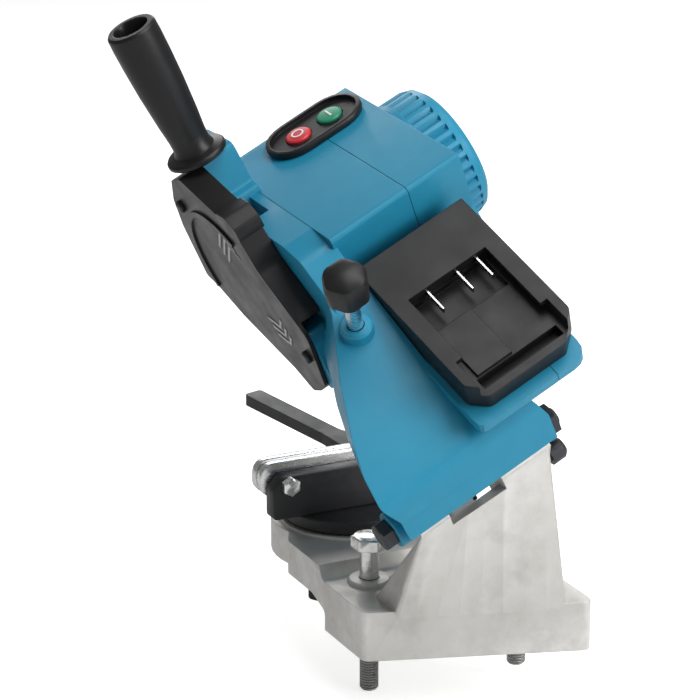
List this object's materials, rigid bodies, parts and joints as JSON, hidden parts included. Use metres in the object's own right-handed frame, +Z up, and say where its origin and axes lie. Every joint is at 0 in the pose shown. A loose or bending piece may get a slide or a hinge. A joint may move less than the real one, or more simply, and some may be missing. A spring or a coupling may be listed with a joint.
{
  "type": "saw chain sharpener",
  "caption": "Cordless bench grinder for saw chain: cast base with pillar, swinging motor head with guarded wheel and grip, empty battery slot and swivelling chain vise with clamp lever.",
  "frame": {"origin": "on the bench plane, on the middle rib of the base block's underside", "axes": "+Z up from the bench, +Y towards the user side of the chain vise, +X to the right seen from the back of the machine"},
  "size_m": [0.2026, 0.2732, 0.3507],
  "materials": {
    "blue_plastic": "satin moulded",
    "black_plastic": "fine moulded grain",
    "black_coating": "satin black coat",
    "cast_aluminium": "sand cast, tumbled",
    "bright_steel": "bright plated",
    "dark_steel": "blackened",
    "abrasive": null,
    "copper": "bare copper",
    "red_button": "gloss",
    "green_button": "gloss",
    "circuit_green": "solder mask"
  },
  "bodies": {
    "base": {"base_casting": "cast_aluminium", "hinge_bolt": "dark_steel", "hinge_nut": "dark_steel", "cross_bolt": "dark_steel", "return_spring": "dark_steel", "mount_bolt_left": "bright_steel", "mount_bolt_right": "bright_steel"},
    "head": {"housing_left": "blue_plastic", "housing_right": "blue_plastic", "rear_cap": "blue_plastic", "cap_plug": "blue_plastic", "stator": "dark_steel", "bearing_front": "bright_steel", "bearing_rear": "bright_steel", "wheel_guard": "black_plastic", "guard_screw_1": "dark_steel", "guard_screw_2": "dark_steel", "handle_grip": "black_plastic", "handle_stud": "bright_steel", "switch_bezel": "black_plastic", "battery_tray": "black_plastic", "contact_blade_1": "bright_steel", "contact_blade_2": "bright_steel", "contact_blade_3": "bright_steel", "circuit_board": "circuit_green"},
    "spindle": {"rotor_shaft": "bright_steel", "rotor_core": "dark_steel", "commutator": "copper", "cooling_fan": "black_plastic", "flange_inner": "bright_steel", "flange_outer": "bright_steel", "arbor_nut": "dark_steel", "grinding_wheel": "abrasive"},
    "depth_stop": {"stop_rod": "bright_steel", "stop_knob": "black_plastic"},
    "off_switch": {"off_button": "red_button"},
    "on_switch": {"on_button": "green_button"},
    "vise": {"turntable": "black_coating", "vise_body": "black_coating", "rail_fixed": "bright_steel", "vise_screw_1": "bright_steel", "vise_screw_2": "bright_steel", "clamp_post": "bright_steel"},
    "jaw": {"rail_movable": "bright_steel"},
    "lever": {"clamp_lever": "black_coating"},
    "table_lock": {"swivel_lock": "black_plastic"}
  },
  "joints": [
    {"name": "head_swing", "type": "hinge", "parent": "base", "child": "head", "pos_m": [-0.0165, -0.05, 0.0938], "axis": [0.891, 0, 0.454], "range_deg": [-26, 4], "stiffness_Nm_per_rad": 3, "springref_deg": 51.57},
    {"name": "wheel_spin", "type": "hinge", "parent": "head", "child": "spindle", "pos_m": [-0.05854, 0.0859, 0.17631], "axis": [0.891, 0, 0.454], "continuous": true},
    {"name": "depth_stop_turn", "type": "hinge", "parent": "head", "child": "depth_stop", "pos_m": [-0.0502, -0.014, 0.17315], "axis": [-0.394, -0.497, 0.7732], "range_deg": [-180, 180]},
    {"name": "off_press", "type": "slide", "parent": "head", "child": "off_switch", "axis": [0.4521, 0.0912, -0.8873], "range_m": [0, 0.002], "stiffness_N_per_m": 300},
    {"name": "on_press", "type": "slide", "parent": "head", "child": "on_switch", "axis": [0.4521, 0.0912, -0.8873], "range_m": [0, 0.002], "stiffness_N_per_m": 300},
    {"name": "vise_swivel", "type": "hinge", "parent": "base", "child": "vise", "pos_m": [-0.0059, 0.0821, 0.034], "axis": [0, 0, 1], "range_deg": [-35, 35]},
    {"name": "clamp_turn", "type": "hinge", "parent": "vise", "child": "lever", "pos_m": [0.011, 0.104, 0.0608], "axis": [0, 0, 1], "range_deg": [0, 50]},
    {"name": "jaw_slide", "type": "slide", "parent": "vise", "child": "jaw", "axis": [0, 1, 0], "range_m": [0, 0.0016]},
    {"name": "lock_turn", "type": "hinge", "parent": "base", "child": "table_lock", "pos_m": [-0.03, 0.075, 0.01], "axis": [0, 0, 1], "range_deg": [0, 180]}
  ],
  "couplings": [
    {"joint": "jaw_slide", "follows": "clamp_turn", "m_per_rad": 0.0017}
  ]
}
